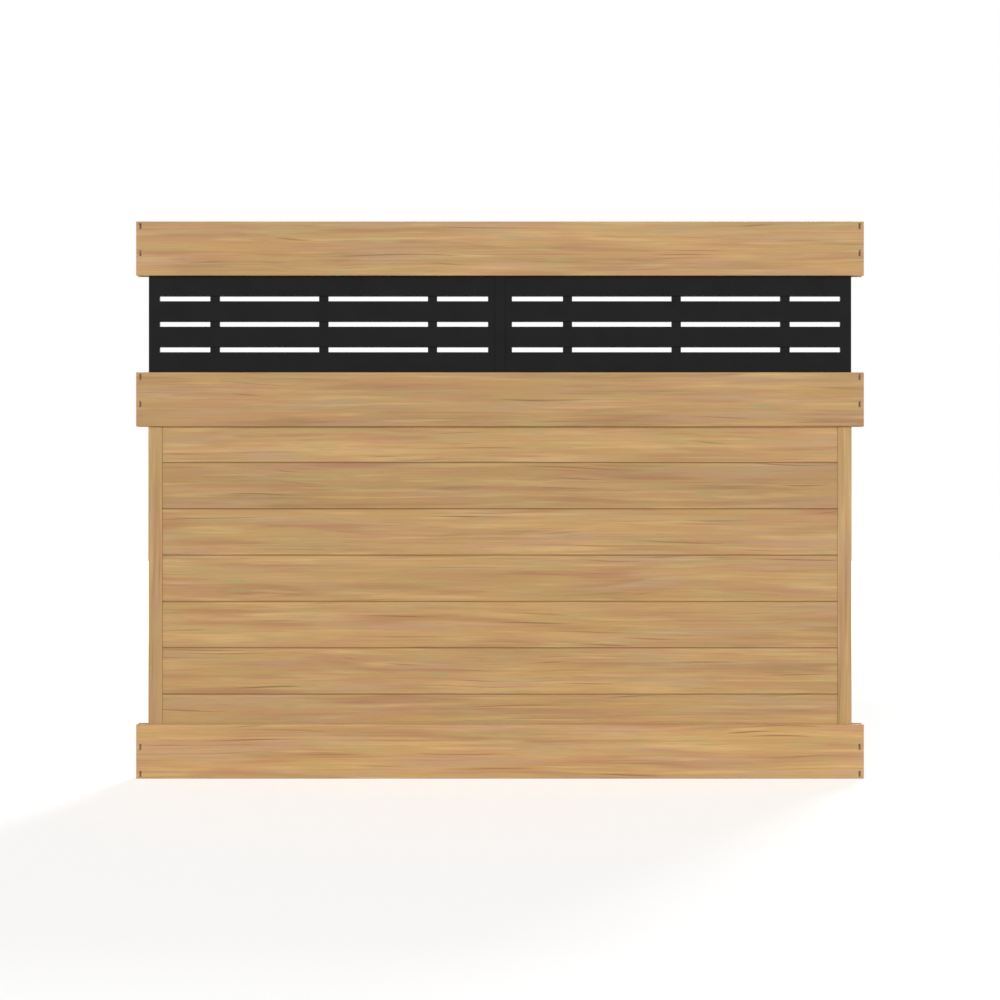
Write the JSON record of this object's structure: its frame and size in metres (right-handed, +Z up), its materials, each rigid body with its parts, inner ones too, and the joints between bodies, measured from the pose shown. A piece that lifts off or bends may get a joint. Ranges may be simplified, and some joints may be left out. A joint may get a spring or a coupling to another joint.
{
  "type": "semi-privacy fence panel",
  "caption": "Vinyl fence panel: hollow pocket rails hold wood-grain tongue-and-groove boards, with black slatted screens and a centre post along the top; rail ends lock into posts.",
  "frame": {"origin": "middle of the left side channel's back, the flat face that is screwed to the left post", "axes": "+X along the panel to the right post, +Y from the front to the back, +Z up"},
  "size_m": [2.388, 0.049, 1.8288],
  "materials": {
    "woodgrain_vinyl": "printed wood grain, matt",
    "black_screen": "matt black"
  },
  "bodies": {
    "root": {"top_rail": "woodgrain_vinyl", "mid_rail": "woodgrain_vinyl", "bottom_rail": "woodgrain_vinyl", "left_side_channel": "woodgrain_vinyl", "right_side_channel": "woodgrain_vinyl", "left_spacer_strip": "woodgrain_vinyl", "right_spacer_strip": "woodgrain_vinyl", "board_1": "woodgrain_vinyl", "board_2": "woodgrain_vinyl", "board_3": "woodgrain_vinyl", "board_4": "woodgrain_vinyl", "board_5": "woodgrain_vinyl", "board_6": "woodgrain_vinyl", "board_7": "woodgrain_vinyl", "left_screen": "black_screen", "right_screen": "black_screen", "centre_post": "black_screen"}
  },
  "joints": []
}
